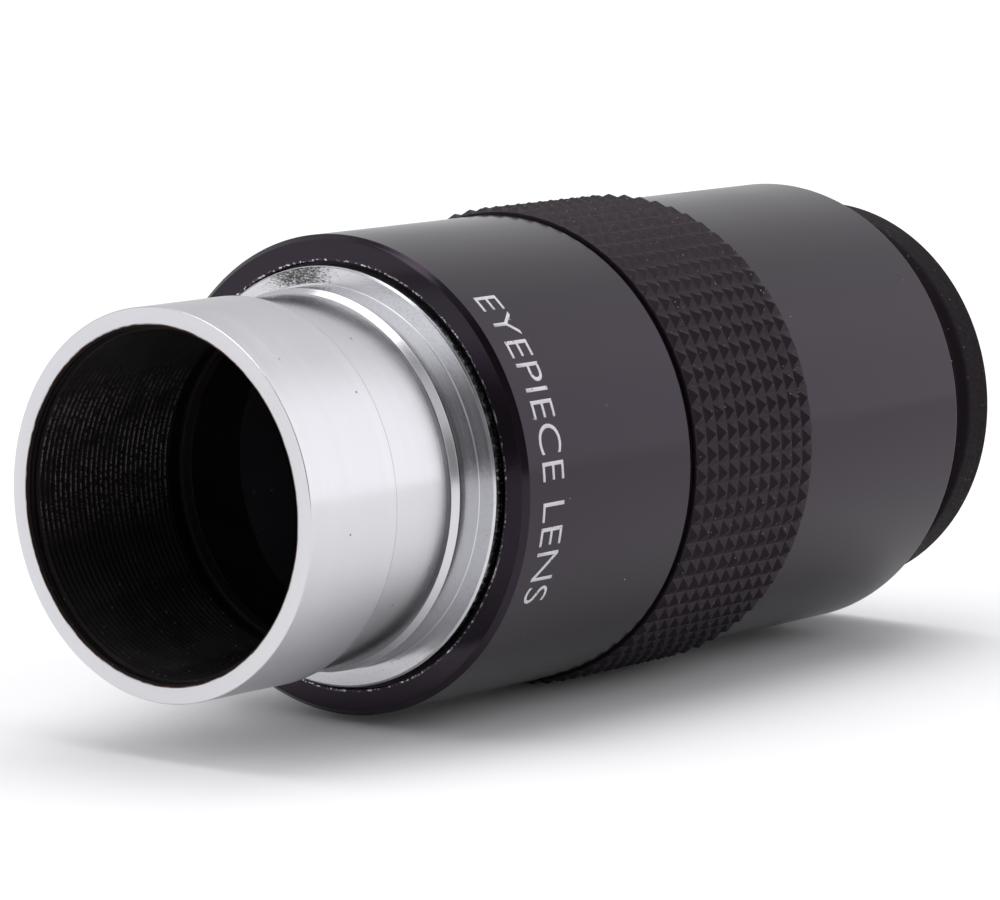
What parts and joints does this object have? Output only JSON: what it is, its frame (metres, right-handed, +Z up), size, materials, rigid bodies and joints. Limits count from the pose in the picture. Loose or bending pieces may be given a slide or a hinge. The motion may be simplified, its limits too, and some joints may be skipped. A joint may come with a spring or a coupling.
{
  "type": "telescope eyepiece",
  "caption": "Telescope eyepiece with a bright push-fit nose barrel, black body tube, rubber grip ring of small pyramids, cemented lens doublets inside and a fold-down rubber eyecup.",
  "frame": {"origin": "on the optical axis, in the middle of the overall length", "axes": "+Y along the optical axis from the nose to the eye, +Z up; the eyepiece lies on its side"},
  "size_m": [0.041, 0.0926, 0.041],
  "materials": {
    "bright_barrel": "bright plated, polished, with fine turning marks",
    "black_anodised": "gloss black anodised, turned",
    "inner_black": "matte black anodised",
    "grip_rubber": "moulded matte charcoal rubber, a little dusty",
    "cup_rubber": "soft matte black rubber, a little dusty",
    "flint_glass": "polished, coated on its outer face",
    "crown_glass": "polished, coated on its inner face"
  },
  "bodies": {
    "body": {"housing": "black_anodised", "grip_ring": "grip_rubber", "lens_cell": "inner_black", "cell_retaining_ring": "inner_black", "spacer_ring": "inner_black", "field_flint": "flint_glass", "field_crown": "crown_glass", "eye_crown": "crown_glass", "eye_flint": "flint_glass"},
    "nose_advance": {"field_stop_ring": "inner_black"},
    "nose": {"nosepiece": "bright_barrel"},
    "cup": {"eyecup": "cup_rubber"}
  },
  "joints": [
    {"name": "nosepiece_advance", "type": "slide", "parent": "body", "child": "nose_advance", "axis": [0, -1, 0], "range_m": [0, 0.003]},
    {"name": "nosepiece_turn", "type": "hinge", "parent": "nose_advance", "child": "nose", "pos_m": [0, -0.0463, 0], "axis": [0, -1, 0], "range_deg": [0, 1440]},
    {"name": "eyecup_fold", "type": "slide", "parent": "body", "child": "cup", "axis": [0, -1, 0], "range_m": [0, 0.0053], "deforming": ["eyecup"]}
  ],
  "couplings": [
    {"joint": "nosepiece_turn", "follows": "nosepiece_advance", "rad_per_m": 8377.6}
  ]
}
